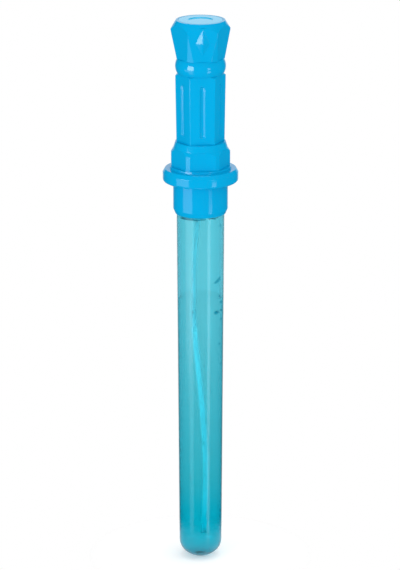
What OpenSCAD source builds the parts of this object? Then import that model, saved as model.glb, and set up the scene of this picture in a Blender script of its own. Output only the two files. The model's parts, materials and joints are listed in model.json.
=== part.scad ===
// Bubble wand: a clear tube of bubble solution, closed by a screw cap that is also
// the handle, with a long looped wand hanging from the cap into the solution.
// Millimetres, +Z up, origin on the axis at the foot of the tube.

/* [Tube] */
// Outside radius of the tube at the shoulder under the cap
tube_r = 15.45; // [14.8:0.05:16.5]
// Outside radius of the tube where its round end starts
tube_end_r = 13.95; // [13:0.01:14.6]
// Radius of the middle of the tube's round end
end_crown_r = 16; // [15:0.1:20]
// Radius where the round end runs into the wall
end_knuckle_r = 10; // [8:0.1:11]
// Height of the shoulder above the foot of the tube
shoulder_z = 235.8; // [225:0.1:250]
// Thickness of the tube's wall
tube_wall = 1.65; // [1.3:0.05:2]
// Height of the neck above the shoulder
neck_h = 18; // [15:0.5:19.5]
// Thickness of the neck's wall between the threads
neck_wall = 1.1; // [0.9:0.05:1.3]
// Radius of the flat foot at the end of the tube
foot_r = 4.1; // [3:0.1:6]
// Radius of the moulding dimple in the foot
dimple_r = 2.6; // [1.5:0.1:2.9]
// Depth of the moulding dimple
dimple_h = 0.6; // [0.3:0.1:0.9]

/* [Thread] */
// Rise of the thread in one turn
thread_pitch = 4; // [3:0.1:4.5]
// Turns of thread on the neck and in the cap
thread_turns = 1.5; // [1.25:0.25:2]
// Height of each thread's ridge
thread_h = 0.5; // [0.3:0.05:0.55]
// Width of each ridge at its root
thread_root_w = 2; // [1.4:0.1:2.2]
// Width of each ridge at its crest
thread_crest_w = 0.9; // [0.5:0.1:1.2]
// Gap between the crests of the two threads
thread_gap = 0.25; // [0.2:0.05:0.4]
// Turns of the cap from closed to free
unscrew_turns = 1.25; // [1:0.05:1.5]

/* [Bubble solution] */
// Height of the liquid's surface above the foot of the tube
level_z = 180; // [140:1:215]
// Gap between the liquid and what it touches
liquid_gap = 0.1; // [0.05:0.05:0.2]
// Room left in the liquid on each side of the wand's path
slot_gap = 0.6; // [0.4:0.1:1]

/* [Wand] */
// Height of the wand's tip above the foot of the tube
wand_tip_z = 16; // [10:0.5:30]
// Height of the top of the wand's long loop
loop_top_z = 172; // [120:1:200]
// Width of the loop
loop_w = 18.6; // [14:0.2:20]
// Width of the loop's rails and cross bars
rail_w = 2.2; // [1.6:0.1:3]
// Number of windows in the loop
windows = 5; // [3:1:7]
// Thickness of the flat wand
wand_t = 3; // [2:0.1:3.4]
// Width of the stem above the loop
stem_w = 6; // [4:0.2:8]
// Sideways bow of the wand high up in the tube
bow_high = 4.9; // [0:0.1:5.4]
// Sideways bow of the wand near its tip
bow_low = 2.6; // [0:0.1:3]
// Length of one full wave of the bow
bow_wave = 260; // [240:1:300]
// Radius of the collar that keeps the seal on the wand
collar_r = 5.5; // [4.8:0.1:6.5]
// Height of the collar
collar_h = 3; // [2:0.5:4]
// Radius of the round neck that passes through the seal
pivot_r = 3.45; // [2.8:0.05:3.8]
// How far the head stands out from the neck all round
head_lip = 0.85; // [0.7:0.05:1.1]
// Height of the head that hangs in the cap
head_h = 3.6; // [2.5:0.1:4.5]
// Running gap round the neck and the head
pivot_gap = 0.3; // [0.25:0.05:0.4]

/* [Seal] */
// Thickness of the sealing washer
seal_t = 1.6; // [1:0.1:2.2]
// Gap between the washer's faces and what they rest on
seat_gap = 0.05; // [0.03:0.01:0.1]
// Gap round the washer's rim and hole
seal_gap = 0.4; // [0.3:0.05:0.6]

/* [Screw cap] */
// Gap between the end of the skirt and the tube's shoulder
skirt_gap = 0.6; // [0.4:0.1:1]
// Height of the skirt below the flange
skirt_h = 20.9; // [20.8:0.1:24]
// Thickness of the skirt's wall at the root of the thread
skirt_wall = 1.55; // [1.3:0.05:2]
// Height of the sloping end of the skirt
skirt_slope_h = 3; // [2:0.1:5]
// Inset of the sloping end of the skirt
skirt_slope_in = 1.2; // [0.6:0.05:1.25]
// How far the flange stands out from the skirt
flange_out = 6.7; // [5:0.1:9]
// Height of the flange
flange_h = 8.7; // [7:0.1:11]
// Height of the slope on the upper edge of the flange
flange_slope = 2.4; // [1:0.1:3]
// Inset of that slope
flange_slope_in = 1.4; // [0.8:0.1:2.4]
// Radius of the flange's lower edge
flange_round = 2; // [1:0.1:2.6]
// Height of the six flats above the flange
nut_h = 11.2; // [8:0.1:14]
// Thickness of the wall behind the middle of each flat
nut_wall = 4.45; // [3.5:0.05:5.5]
// How far the six corners are blunted
nut_blunt = 0.75; // [0.3:0.05:0.9]
// Height of the slope above the flats
nut_slope_h = 2.6; // [1.5:0.1:4]
// How far the round base ring stands out from the blunted corners
base_out = 0.75; // [0.4:0.05:1.2]
// Height of the round base ring
base_h = 1.6; // [0.8:0.1:2]
// Height of the round collar that holds the grip
collar_ring_h = 4; // [3:0.1:6]
// How far the collar's top stands out from the grip's corners
collar_out = 0.65; // [0.4:0.05:1]
// How far the collar spreads from its top to its base
collar_spread = 1.25; // [0.6:0.05:1.6]
// Thickness of the cap's inner web and of the pivot's boss
web_t = 2.2; // [1.6:0.1:3]

/* [Grip] */
// Radius of the hollow in the grip
grip_bore_r = 11.3; // [10.6:0.05:11.8]
// Wall behind the middle of each of the six flats, at the lower end
grip_wall = 2.2; // [1.9:0.05:2.8]
// How much wider the grip is at its top
grip_flare = 0.7; // [0:0.02:0.8]
// Height of the six-sided shaft
grip_h = 43; // [35:0.5:60]
// Height of the slope at the top of the shaft
grip_slope_h = 1.6; // [1:0.1:2.5]
// Radius of each flute
flute_r = 2; // [1.4:0.1:2.4]
// Depth of each flute
flute_depth = 0.9; // [0.4:0.05:1]
// Distance from the flutes' ends to the ends of the shaft
flute_end = 4; // [2.5:0.5:8]
// Radius of the grooves beside the bulge
groove_r = 15; // [14.2:0.05:15.3]
// How far the shaft's slope runs in under the bulge
groove_step = 0.15; // [0.1:0.05:0.5]
// How far the bulge swells out of the grooves
bulge_rise = 1.3; // [0.8:0.05:1.6]
// Height of the bulge with its two grooves
bulge_h = 9.6; // [8:0.1:13]
// Wall of the spigots that join cap, grip and pommel
spigot_wall = 1.3; // [1:0.05:1.6]
// Length of the spigot in the cap
grip_spigot_h = 14; // [8:0.5:16]
// Gap round a spigot in its socket
spigot_gap = 0.1; // [0.05:0.05:0.2]
// Turn of the closed handle about its axis, in degrees
handle_turn = 5; // [0:0.5:60]

/* [Pommel] */
// Height of the tapering body of the pommel
pommel_h = 19.2; // [15:0.1:24]
// Radius of the pommel's corners where it is widest
pommel_r = 19.25; // [18:0.05:22]
// How far the corner facets stand out from the groove at the pommel's lower end
waist_out = 0.35; // [0.1:0.05:0.8]
// How far the middles of the flats lie inside the corner facets there
flat_in = 0.9; // [0.5:0.05:1.1]
// Distance from the widest place down to the points of the corner facets
facet_drop = 0.6; // [0.4:0.1:2]
// Height of the turned slope above the widest place
crown_h = 5.6; // [4:0.1:8]
// Radius of the flat top
crown_r = 15.8; // [14.8:0.05:17]
// Rim left round the end plug
crown_rim = 1.4; // [0.8:0.05:1.6]
// Length of the pommel's spigot in the grip
pommel_spigot_h = 8; // [5:0.5:14]
// Half width of the raised studs on the front and the back
stud_w = 4.6; // [3:0.1:5.5]
// Height of a stud's upper point above the widest place
stud_top = 3.1; // [1:0.1:3.4]
// Distance from a stud's upper point to its widest place
stud_rise = 9.8; // [7:0.1:12]
// Distance from a stud's widest place to its lower point
stud_drop = 8.6; // [5:0.1:9.5]
// How far a stud's middle stands out of its flat
stud_proud = 2; // [0.8:0.05:2.4]

/* [End plug] */
// Thickness of the end plug's disc
plug_t = 1.8; // [1.2:0.1:2.6]
// Length of the plug's ring inside the pommel
plug_ring_h = 6; // [3:0.5:10]
// Radius of the shallow dish in the plug
dish_r = 8; // [4:0.5:11]
// Depth of the dish
dish_h = 0.5; // [0.3:0.1:0.8]

/* [Hidden] */
$fn = 96;
// A hair of overlap where one shape of a solid runs into another
weld = 0.2;
// Sides of the grip, the nut and the pommel
sides = 6;

// Tube and neck
crown_z = sqrt(pow(end_crown_r, 2) - pow(foot_r, 2));
knuckle_x = tube_end_r - end_knuckle_r;
knuckle_drop = sqrt(pow(end_crown_r - end_knuckle_r, 2) - pow(knuckle_x, 2));
end_z = crown_z - knuckle_drop;
// Times the distance between the two centres, which is past the arc
sector_reach = 6;
bore_r = tube_r - tube_wall;
neck_r = bore_r + neck_wall;
rim_z = shoulder_z + neck_h;
shoulder_slope = tube_r - neck_r;

// Threads: the neck's crest clears the cap's crest
neck_crest_r = neck_r + thread_h;
cap_crest_r = neck_crest_r + thread_gap;
cap_bore_r = cap_crest_r + thread_h;
thread_z = shoulder_z + shoulder_slope + thread_root_w + thread_pitch / 2;
segments_per_turn = 36;
fade_segments = 6;

// Seal and cap
seal_z = rim_z + seat_gap;
ceiling_z = seal_z + seal_t + seat_gap;
skirt_z = shoulder_z + skirt_gap;
skirt_r = cap_bore_r + skirt_wall;
flange_z = skirt_z + skirt_h;
flange_r = skirt_r + flange_out;
nut_z = flange_z + flange_h;
nut_top_z = nut_z + nut_h;
collar_ring_z = nut_top_z + nut_slope_h;
grip_z = collar_ring_z + collar_ring_h;
web_z = ceiling_z + web_t;

// Grip, from its bore outwards
grip_low_r = (grip_bore_r + grip_wall) / cos(180 / sides);
grip_high_r = grip_low_r + grip_flare;
spigot_r = grip_bore_r + spigot_wall;
socket_r = spigot_r + spigot_gap;
collar_top_r = grip_low_r + collar_out;
collar_base_r = collar_top_r + collar_spread;
nut_corner_r = (socket_r + nut_wall) / cos(180 / sides);
nut_round_r = nut_corner_r - nut_blunt;
base_r = nut_round_r + base_out;
slope_z = grip_z + grip_h;
bulge_z = slope_z + grip_slope_h;
pommel_z = bulge_z + bulge_h;
bulge_r = (pow(bulge_h / 2, 2) + pow(bulge_rise, 2)) / (2 * bulge_rise);

// Pommel and plug
waist_r = groove_r + waist_out;
waist_flat_r = waist_r - flat_in;
widest_z = pommel_z + pommel_h;
top_z = widest_z + crown_h;
flat_flare = (pommel_r * cos(180 / sides) - waist_flat_r) / pommel_h;
facet_z = widest_z - facet_drop;
pommel_spigot_r = grip_bore_r - spigot_gap;
pommel_bore_r = pommel_spigot_r - spigot_wall;
recess_r = crown_r - crown_rim;
plug_r = recess_r - spigot_gap;
plug_ring_r = pommel_bore_r - spigot_gap;

// Wand: the head hangs on the lip of the cap's pivot socket
lip_t = web_t - pivot_gap;
lip_z = ceiling_z + lip_t;
head_z = lip_z + pivot_gap;
head_r = pivot_r + head_lip;
chamber_r = head_r + pivot_gap;
chamber_z = head_z + head_h + pivot_gap;
boss_r = chamber_r + web_t;
unscrew_rise = thread_pitch * unscrew_turns;
collar_z = seal_z - unscrew_rise - seal_gap - collar_h;
stem_z = collar_z + weld;
bow_z = collar_z;
bow_steps = 20;
stem_step = (stem_z - wand_tip_z) / bow_steps;
window_h = (loop_top_z - wand_tip_z - rail_w * (windows + 1)) / windows;

handle_blue = [0.01, 0.67, 0.9];

// Radius of the tube's outside at a height on its taper
function tube_r_at(z) = tube_end_r + (tube_r - tube_end_r) * (z - end_z) / (shoulder_z - end_z);

// Sideways place of the bowed wand at a height: a slow wave that is stronger high up
function bow_size(z) = bow_low + (bow_high - bow_low) * (z - wand_tip_z) / (bow_z - wand_tip_z);
function bow(z) = -bow_size(z) * sin(360 * (bow_z - z) / bow_wave);

// Share of its full height that a thread's ridge has at a step along it
function fade(i, n) = min(1, i / fade_segments, (n - i) / fade_segments);

// A helical ridge on a wall of radius r, outward for side 1 and inward for side -1
module thread(r, side) {
    n = round(segments_per_turn * thread_turns);
    half_root = thread_root_w / 2;
    half_crest = thread_crest_w / 2;
    points = [
        for (i = [0 : n])
            let (
                turn = 360 * i / segments_per_turn,
                rise = thread_pitch * i / segments_per_turn,
                root = r - side * weld,
                crest = r + side * (thread_h * fade(i, n) - weld * (1 - fade(i, n)) / 2)
            )
            for (corner = [[root, -half_root], [crest, -half_crest], [crest, half_crest], [root, half_root]])
                [corner[0] * cos(turn), corner[0] * sin(turn), rise + corner[1]]
    ];
    walls = [
        for (i = [0 : n - 1])
            for (k = [0 : 3])
                let (a = 4 * i + k, b = 4 * i + (k + 1) % 4)
                for (face = [[a, b, b + 4], [a, b + 4, a + 4]])
                    face
    ];
    ends = [[3, 2, 1], [3, 1, 0], [4 * n, 4 * n + 1, 4 * n + 2], [4 * n, 4 * n + 2, 4 * n + 3]];
    faces = concat(walls, ends);
    polyhedron(points, side > 0 ? faces : [for (f = faces) [f[2], f[1], f[0]]]);
}

// A ring of material between two radii
module ring(outer_r, inner_r, h) {
    difference() {
        cylinder(r = outer_r, h = h);
        translate([0, 0, -weld])
            cylinder(r = inner_r, h = h + 2 * weld);
    }
}

// A quarter disc beside the axis, above it for side 1 and below it for side -1
module quarter(r, side) {
    intersection() {
        circle(r = r);
        translate([0, side > 0 ? 0 : -r])
            square(r);
    }
}

// Turned outline of a tapered, round-ended rod inside the tube's outside by an inset
module rod_outline(top, inset) {
    past_arc = [sector_reach * knuckle_x, crown_z - sector_reach * knuckle_drop];
    intersection() {
        translate([0, crown_z])
            circle(r = end_crown_r - inset);
        polygon([[0, crown_z], past_arc, [0, -crown_z]]);
    }
    intersection() {
        translate([knuckle_x, end_z])
            circle(r = end_knuckle_r - inset);
        square(2 * tube_r);
    }
    polygon([[0, end_z], [tube_end_r - inset, end_z], [tube_r_at(top) - inset, top], [0, top]]);
}

// Clear tube with a round end, a slight draft and a threaded neck
module tube() {
    color([0.62, 0.86, 0.9, 0.4]) {
        rotate_extrude()
            difference() {
                union() {
                    intersection() {
                        rod_outline(shoulder_z, 0);
                        square([2 * tube_r, shoulder_z]);
                    }
                    polygon([
                        [0, shoulder_z],
                        [tube_r, shoulder_z],
                        [neck_r, shoulder_z + shoulder_slope],
                        [neck_r, rim_z],
                        [0, rim_z]
                    ]);
                }
                rod_outline(rim_z + weld, tube_wall);
                square([dimple_r, dimple_h]);
            }
        translate([0, 0, thread_z])
            thread(neck_r, 1);
    }
}

// Liquid in the tube, open along the straight path of the wand
module bubble_solution() {
    wetted = [for (i = [0 : bow_steps]) bow(wand_tip_z + (level_z - wand_tip_z) * i / bow_steps)];
    low_x = min(wetted) - wand_t / 2 - slot_gap;
    high_x = max(wetted) + wand_t / 2 + slot_gap;
    slot_w = loop_w + 2 * slot_gap;
    color([0.1, 0.7, 0.78, 0.6])
        difference() {
            rotate_extrude()
                rod_outline(level_z, tube_wall + liquid_gap);
            translate([low_x, -slot_w / 2, wand_tip_z - slot_gap])
                cube([high_x - low_x, slot_w, level_z]);
        }
}

// Outline of the loop and the stem, flat
module wand_outline() {
    corner_r = loop_w / 2;
    window_w = loop_w - 2 * rail_w;
    difference() {
        union() {
            translate([0, wand_tip_z + corner_r])
                circle(r = corner_r);
            translate([0, loop_top_z - corner_r])
                circle(r = corner_r);
            translate([-corner_r, wand_tip_z + corner_r])
                square([loop_w, loop_top_z - wand_tip_z - loop_w]);
            translate([-stem_w / 2, loop_top_z - corner_r])
                square([stem_w, stem_z - loop_top_z + corner_r]);
        }
        intersection() {
            union() {
                translate([0, wand_tip_z + corner_r])
                    circle(r = window_w / 2);
                translate([0, loop_top_z - corner_r])
                    circle(r = window_w / 2);
                translate([-window_w / 2, wand_tip_z + corner_r])
                    square([window_w, loop_top_z - wand_tip_z - loop_w]);
            }
            for (i = [0 : windows - 1])
                translate([-loop_w, wand_tip_z + rail_w + i * (window_h + rail_w)])
                    square([2 * loop_w, window_h]);
        }
    }
}

// Long bowed wand with a looped blade, a flat stem and a round head
module wand() {
    steps = [for (i = [0 : bow_steps]) wand_tip_z + stem_step * i];
    front = [for (z = steps) [bow(z) - wand_t / 2, z]];
    back = [for (i = [0 : bow_steps]) let (z = steps[bow_steps - i]) [bow(z) + wand_t / 2, z]];
    color([0.86, 0.96, 0.97]) {
        intersection() {
            rotate([90, 0, 0])
                linear_extrude(height = 2 * loop_w, center = true)
                    polygon(concat(front, back));
            rotate([90, 0, 90])
                linear_extrude(height = 2 * tube_r, center = true)
                    wand_outline();
        }
        translate([0, 0, collar_z])
            cylinder(r = collar_r, h = collar_h);
        translate([0, 0, collar_z])
            cylinder(r = pivot_r, h = head_z - collar_z + weld);
        translate([0, 0, head_z])
            cylinder(r = head_r, h = head_h / 2);
        translate([0, 0, head_z + head_h / 2])
            cylinder(r1 = head_r, r2 = pivot_r, h = head_h / 2);
    }
}

// Soft washer between the tube's rim and the cap
module seal_washer() {
    color([0.93, 0.93, 0.9])
        translate([0, 0, seal_z])
            ring(cap_crest_r - seal_gap, pivot_r + seal_gap, seal_t);
}

// Turned outline of the flange, sloped above and rounded below
module flange_outline() {
    round_z = flange_z + flange_round;
    translate([flange_r - flange_round, round_z])
        circle(r = flange_round);
    polygon([
        [0, flange_z],
        [flange_r - flange_round, flange_z],
        [flange_r - flange_round, round_z],
        [flange_r, round_z],
        [flange_r, nut_z - flange_slope],
        [flange_r - flange_slope_in, nut_z],
        [0, nut_z]
    ]);
}

// Six flats with blunted corners, sloped to the collar's base
module nut() {
    intersection() {
        translate([0, 0, nut_z - weld])
            rotate([0, 0, handle_turn])
                cylinder(r = nut_corner_r, h = nut_h + nut_slope_h + weld, $fn = sides);
        rotate_extrude()
            polygon([
                [0, nut_z - weld],
                [nut_round_r, nut_z - weld],
                [nut_round_r, nut_top_z],
                [collar_base_r, collar_ring_z],
                [0, collar_ring_z]
            ]);
    }
}

// Cap with a threaded skirt, a flange, six flats and the socket of the grip
module screw_cap() {
    color(handle_blue) {
        difference() {
            union() {
                translate([0, 0, skirt_z])
                    cylinder(r1 = skirt_r - skirt_slope_in, r2 = skirt_r, h = skirt_slope_h);
                translate([0, 0, skirt_z + skirt_slope_h])
                    cylinder(r = skirt_r, h = skirt_h - skirt_slope_h + weld);
                rotate_extrude()
                    flange_outline();
                translate([0, 0, nut_z - weld])
                    cylinder(r = base_r, h = base_h + weld);
                nut();
                translate([0, 0, collar_ring_z - weld])
                    cylinder(r = collar_base_r, h = weld);
                translate([0, 0, collar_ring_z])
                    cylinder(r1 = collar_base_r, r2 = collar_top_r, h = collar_ring_h);
            }
            translate([0, 0, skirt_z - weld])
                cylinder(r = cap_bore_r, h = ceiling_z - skirt_z + weld);
            difference() {
                translate([0, 0, web_z])
                    cylinder(r = socket_r, h = grip_z - web_z + weld);
                translate([0, 0, web_z - weld])
                    cylinder(r = boss_r, h = chamber_z + web_t - web_z + weld);
            }
            translate([0, 0, ceiling_z - weld])
                cylinder(r = pivot_r + pivot_gap, h = lip_t + 2 * weld);
            translate([0, 0, lip_z])
                cylinder(r = chamber_r, h = chamber_z - lip_z);
        }
        translate([0, 0, thread_z - thread_pitch / 2])
            thread(cap_bore_r, -1);
    }
}

// One flute with round ends, lying along a flat
module flute(low_z, high_z, axis_r) {
    translate([axis_r, 0, 0])
        rotate_extrude() {
            translate([0, low_z])
                quarter(flute_r, -1);
            translate([0, low_z])
                square([flute_r, high_z - low_z]);
            translate([0, high_z])
                quarter(flute_r, 1);
        }
}

// Hollow six-sided grip with flutes, a bulge and a spigot for the cap
module grip() {
    flat_turn = handle_turn + 180 / sides;
    flute_low_z = grip_z + flute_end + flute_r;
    flute_high_z = slope_z - flute_end - flute_r;
    flute_axis_r = grip_low_r * cos(180 / sides) - flute_depth + flute_r;
    bulge_mid_z = bulge_z + bulge_h / 2;
    shaft_h = bulge_z - grip_z;
    color(handle_blue)
        difference() {
            union() {
                intersection() {
                    translate([0, 0, grip_z])
                        rotate([0, 0, handle_turn])
                            cylinder(r1 = grip_low_r, r2 = grip_high_r, h = shaft_h + weld, $fn = sides);
                    rotate_extrude()
                        polygon([
                            [0, grip_z - weld],
                            [grip_high_r + weld, grip_z - weld],
                            [grip_high_r + weld, slope_z],
                            [groove_r - groove_step, bulge_z],
                            [0, bulge_z]
                        ]);
                }
                rotate_extrude()
                    intersection() {
                        translate([groove_r + bulge_rise - bulge_r, bulge_mid_z])
                            circle(r = bulge_r);
                        translate([0, bulge_z])
                            square([groove_r + 2 * bulge_rise, bulge_h]);
                    }
                translate([0, 0, bulge_z - weld])
                    cylinder(r = grip_bore_r + grip_wall, h = bulge_h + weld);
                translate([0, 0, grip_z - grip_spigot_h])
                    cylinder(r = spigot_r, h = grip_spigot_h + weld);
            }
            translate([0, 0, grip_z - grip_spigot_h - weld])
                cylinder(r = grip_bore_r, h = pommel_z - grip_z + grip_spigot_h + 2 * weld);
            for (k = [0 : sides - 1])
                rotate([0, 0, flat_turn + 360 * k / sides])
                    flute(flute_low_z, flute_high_z, flute_axis_r);
        }
}

// Distance from the axis to the middle of a flat of the pommel at a height
function flat_r(z) = waist_flat_r + flat_flare * (z - pommel_z);

// Six sides that flare upwards, at a distance from the axis at the pommel's lower end and at a height
module flaring(low_r, high_z, high_r) {
    to_top = (top_z - pommel_z) / (high_z - pommel_z);
    translate([0, 0, pommel_z])
        cylinder(
            r1 = low_r / cos(180 / sides),
            r2 = (low_r + (high_r - low_r) * to_top) / cos(180 / sides),
            h = top_z - pommel_z,
            $fn = sides
        );
}

// Six flats with a facet on each corner, under a turned slope
module pommel_body() {
    intersection() {
        rotate([0, 0, handle_turn])
            flaring(waist_flat_r, widest_z, flat_r(widest_z));
        rotate([0, 0, handle_turn + 180 / sides])
            flaring(waist_r, facet_z, flat_r(facet_z) / cos(180 / sides));
        rotate_extrude()
            polygon([
                [0, pommel_z - weld],
                [pommel_r + weld, pommel_z - weld],
                [pommel_r + weld, widest_z - weld * crown_h / (pommel_r - crown_r)],
                [crown_r, top_z],
                [0, top_z]
            ]);
    }
}

// A raised kite with four faces, on the flat that faces +X, with its foot sunk into the flat
module stud() {
    wide_z = widest_z + stud_top - stud_rise;
    sunk = weld / 2;
    grow = (stud_proud + sunk) / stud_proud;
    function on_flat(y, z, out) = [flat_r(z) + out, y, z];
    polyhedron(
        [
            on_flat(0, wide_z + stud_rise * grow, -sunk),
            on_flat(stud_w * grow, wide_z, -sunk),
            on_flat(0, wide_z - stud_drop * grow, -sunk),
            on_flat(-stud_w * grow, wide_z, -sunk),
            on_flat(0, wide_z, stud_proud),
            on_flat(0, wide_z, -stud_proud)
        ],
        [
            [0, 1, 4], [1, 2, 4], [2, 3, 4], [3, 0, 4],
            [1, 0, 5], [2, 1, 5], [3, 2, 5], [0, 3, 5]
        ]
    );
}

// Faceted hollow pommel with a raised stud on its front and its back
module pommel() {
    spigot_z = pommel_z - pommel_spigot_h;
    color(handle_blue)
        difference() {
            union() {
                pommel_body();
                for (turn = [90, 270])
                    rotate([0, 0, handle_turn + turn])
                        stud();
                translate([0, 0, spigot_z])
                    cylinder(r = pommel_spigot_r, h = pommel_spigot_h + weld);
            }
            translate([0, 0, spigot_z - weld])
                cylinder(r = pommel_bore_r, h = top_z - spigot_z + 2 * weld);
            translate([0, 0, top_z - plug_t])
                cylinder(r = recess_r, h = plug_t + weld);
        }
}

// Plug that closes the top of the pommel, with a shallow dish
module end_plug() {
    color([0.45, 0.82, 0.96])
        difference() {
            union() {
                translate([0, 0, top_z - plug_t])
                    cylinder(r = plug_r, h = plug_t);
                translate([0, 0, top_z - plug_t - plug_ring_h])
                    ring(plug_ring_r, plug_ring_r - spigot_wall, plug_ring_h + weld);
            }
            translate([0, 0, top_z - dish_h])
                cylinder(r = dish_r, h = dish_h + weld);
        }
}

tube();
bubble_solution();
wand();
seal_washer();
screw_cap();
grip();
pommel();
end_plug();
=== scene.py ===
"""Bubble wand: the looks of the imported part, in metres, in the CAD model's own frame."""

import json
import logging
import math
from collections.abc import Iterable, Sequence
from dataclasses import dataclass, field
from enum import Enum

import bmesh
import bpy
from mathutils import Matrix, Vector

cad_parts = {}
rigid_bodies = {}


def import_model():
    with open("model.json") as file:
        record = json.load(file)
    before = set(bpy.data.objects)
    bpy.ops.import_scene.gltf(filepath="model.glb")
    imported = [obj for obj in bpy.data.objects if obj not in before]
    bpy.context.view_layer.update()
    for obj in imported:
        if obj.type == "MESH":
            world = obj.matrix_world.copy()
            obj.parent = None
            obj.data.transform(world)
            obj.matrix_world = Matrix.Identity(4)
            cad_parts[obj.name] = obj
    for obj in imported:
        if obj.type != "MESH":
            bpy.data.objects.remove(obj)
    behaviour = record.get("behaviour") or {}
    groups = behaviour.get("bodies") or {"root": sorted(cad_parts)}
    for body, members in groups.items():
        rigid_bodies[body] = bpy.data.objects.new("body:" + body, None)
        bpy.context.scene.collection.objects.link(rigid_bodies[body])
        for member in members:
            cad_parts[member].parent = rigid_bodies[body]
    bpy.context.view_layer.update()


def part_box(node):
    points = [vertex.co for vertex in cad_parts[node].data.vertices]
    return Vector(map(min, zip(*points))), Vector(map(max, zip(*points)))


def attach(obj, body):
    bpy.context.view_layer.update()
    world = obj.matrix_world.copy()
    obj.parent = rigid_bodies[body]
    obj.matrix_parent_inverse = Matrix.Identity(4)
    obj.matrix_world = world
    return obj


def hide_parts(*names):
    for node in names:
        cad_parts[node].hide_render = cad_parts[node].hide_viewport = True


LOG = logging.getLogger("bubble_wand")
MM = 0.001
AXIS = Vector((0, 0, 1))
ORIGIN = Vector((0, 0, 0))
FULL_TURN = 2 * math.pi
TURN_STEPS = 96
ARC_STEPS = 16
MERGE_DISTANCE = 1e-6

# The six-sided handle, with a corner a little way round from the X axis
SIDES = 6
SIDE_TURN = FULL_TURN / SIDES
SIDE_COS = math.cos(SIDE_TURN / 2)
HANDLE_TURN = math.radians(5)

# Shares of a face's normal above which it counts as level or as facing a way, and below which as upright
LEVEL_FACE = 0.99
FACING = 0.98
UPRIGHT_FACE = 0.1

UNIT = (0.0, 1.0)
NOISE_RANGE = (0.3, 0.7)

Mesh = bmesh.types.BMesh
Vert = bmesh.types.BMVert
Edge = bmesh.types.BMEdge
Face = bmesh.types.BMFace
Value = bpy.types.NodeSocket
Colour = tuple[float, float, float, float]
Span = tuple[float, float]


class Body(Enum):
    """The part's bodies, which the joints move."""

    TUBE = "tube"
    SEAL = "seal"
    WAND = "wand"
    HANDLE = "handle"


class Slot(Enum):
    """The record's material slots."""

    TUBE = "clear_tube"
    SOLUTION = "solution"
    WAND = "wand_plastic"
    SEAL = "seal_foam"
    HANDLE = "handle_blue"
    PLUG = "plug_blue"


@dataclass(frozen=True)
class Room:
    """The room that a CAD node takes at rest."""

    low: Vector
    high: Vector

    @classmethod
    def of(cls, node: str) -> "Room":
        """Reads a node's box from the frame."""
        return cls(*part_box(node))


@dataclass(frozen=True)
class Corner:
    """A corner of an outline, and the radius that rounds it.

    across is the distance from the axis or from a middle line, and up is the height.
    """

    across: float
    up: float
    fillet: float = 0.0

    @property
    def point(self) -> Vector:
        """The corner as a flat vector."""
        return Vector((self.across, self.up))


def rounded(corners: Sequence[Corner], closed: bool = False, steps: int = 4) -> list[Vector]:
    """Rounds the corners of an outline.

    Args:
        corners: the corners in order.
        closed: whether the last corner runs on to the first one.
        steps: straight steps in each round.

    Returns:
        The outline's points, as flat vectors.
    """
    points: list[Vector] = []
    last = len(corners) - 1
    for i, corner in enumerate(corners):
        if corner.fillet == 0 or (not closed and i in (0, last)):
            points.append(corner.point)
            continue
        back = (corners[i - 1].point - corner.point).normalized()
        ahead = (corners[(i + 1) % len(corners)].point - corner.point).normalized()
        half = back.angle(ahead) / 2
        centre = corner.point + (back + ahead).normalized() * (corner.fillet / math.sin(half))
        start = corner.point + back * (corner.fillet / math.tan(half)) - centre
        end = corner.point + ahead * (corner.fillet / math.tan(half)) - centre
        sweep = math.atan2(start.x * end.y - start.y * end.x, start.dot(end))
        for k in range(steps + 1):
            points.append(centre + Matrix.Rotation(sweep * k / steps, 2) @ start)
    return points


def arc(centre: Corner, radius: float, start_deg: float, end_deg: float) -> list[Corner]:
    """Points of an arc.

    Args:
        centre: the arc's centre.
        radius: the arc's radius.
        start_deg: first angle above the horizon.
        end_deg: last angle above the horizon.

    Returns:
        The arc's points as plain corners.
    """
    sweep = end_deg - start_deg
    angles = [math.radians(start_deg + sweep * k / ARC_STEPS) for k in range(ARC_STEPS + 1)]
    return [Corner(centre.across + radius * math.cos(a), centre.up + radius * math.sin(a)) for a in angles]


def heading(angle: float) -> Vector:
    """The level direction at an angle about the axis."""
    return Vector((math.cos(angle), math.sin(angle), 0))


def turned(bm: Mesh, corners: Sequence[Corner], turn: float = 0.0, steps: int = TURN_STEPS) -> None:
    """Rounds an outline's corners and turns it about the axis.

    Args:
        bm: the mesh that gets the turned skin.
        corners: the outline's corners, by radius and height.
        turn: angle of the plane that the outline starts in.
        steps: steps in the full turn.
    """
    verts = [bm.verts.new(heading(turn) * p.x + AXIS * p.y) for p in rounded(corners)]
    edges = [bm.edges.new(pair) for pair in zip(verts, verts[1:])]
    bmesh.ops.spin(
        bm, geom=verts + edges, cent=ORIGIN, axis=AXIS, angle=FULL_TURN, steps=steps, use_merge=True
    )


def settle(bm: Mesh) -> None:
    """Merges doubled vertices and turns the faces outwards.

    Args:
        bm: the mesh.
    """
    bmesh.ops.remove_doubles(bm, verts=bm.verts, dist=MERGE_DISTANCE)
    bmesh.ops.dissolve_degenerate(bm, edges=bm.edges, dist=MERGE_DISTANCE)
    bmesh.ops.recalc_face_normals(bm, faces=bm.faces)


def soften(bm: Mesh, crease_deg: float, width: float, segments: int) -> None:
    """Rounds the edges that bend sharply, as a mould does.

    Args:
        bm: the mesh.
        crease_deg: edges that bend by more than this are rounded.
        width: distance from the old edge to the new ones.
        segments: faces across the round.
    """
    limit = math.radians(crease_deg)
    bmesh.ops.bevel(
        bm,
        geom=[e for e in bm.edges if e.is_manifold and e.calc_face_angle(0) > limit],
        offset=width,
        offset_type="OFFSET",
        affect="EDGES",
        segments=segments,
        profile=0.5,
        material=-1,
        clamp_overlap=True,
    )


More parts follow.
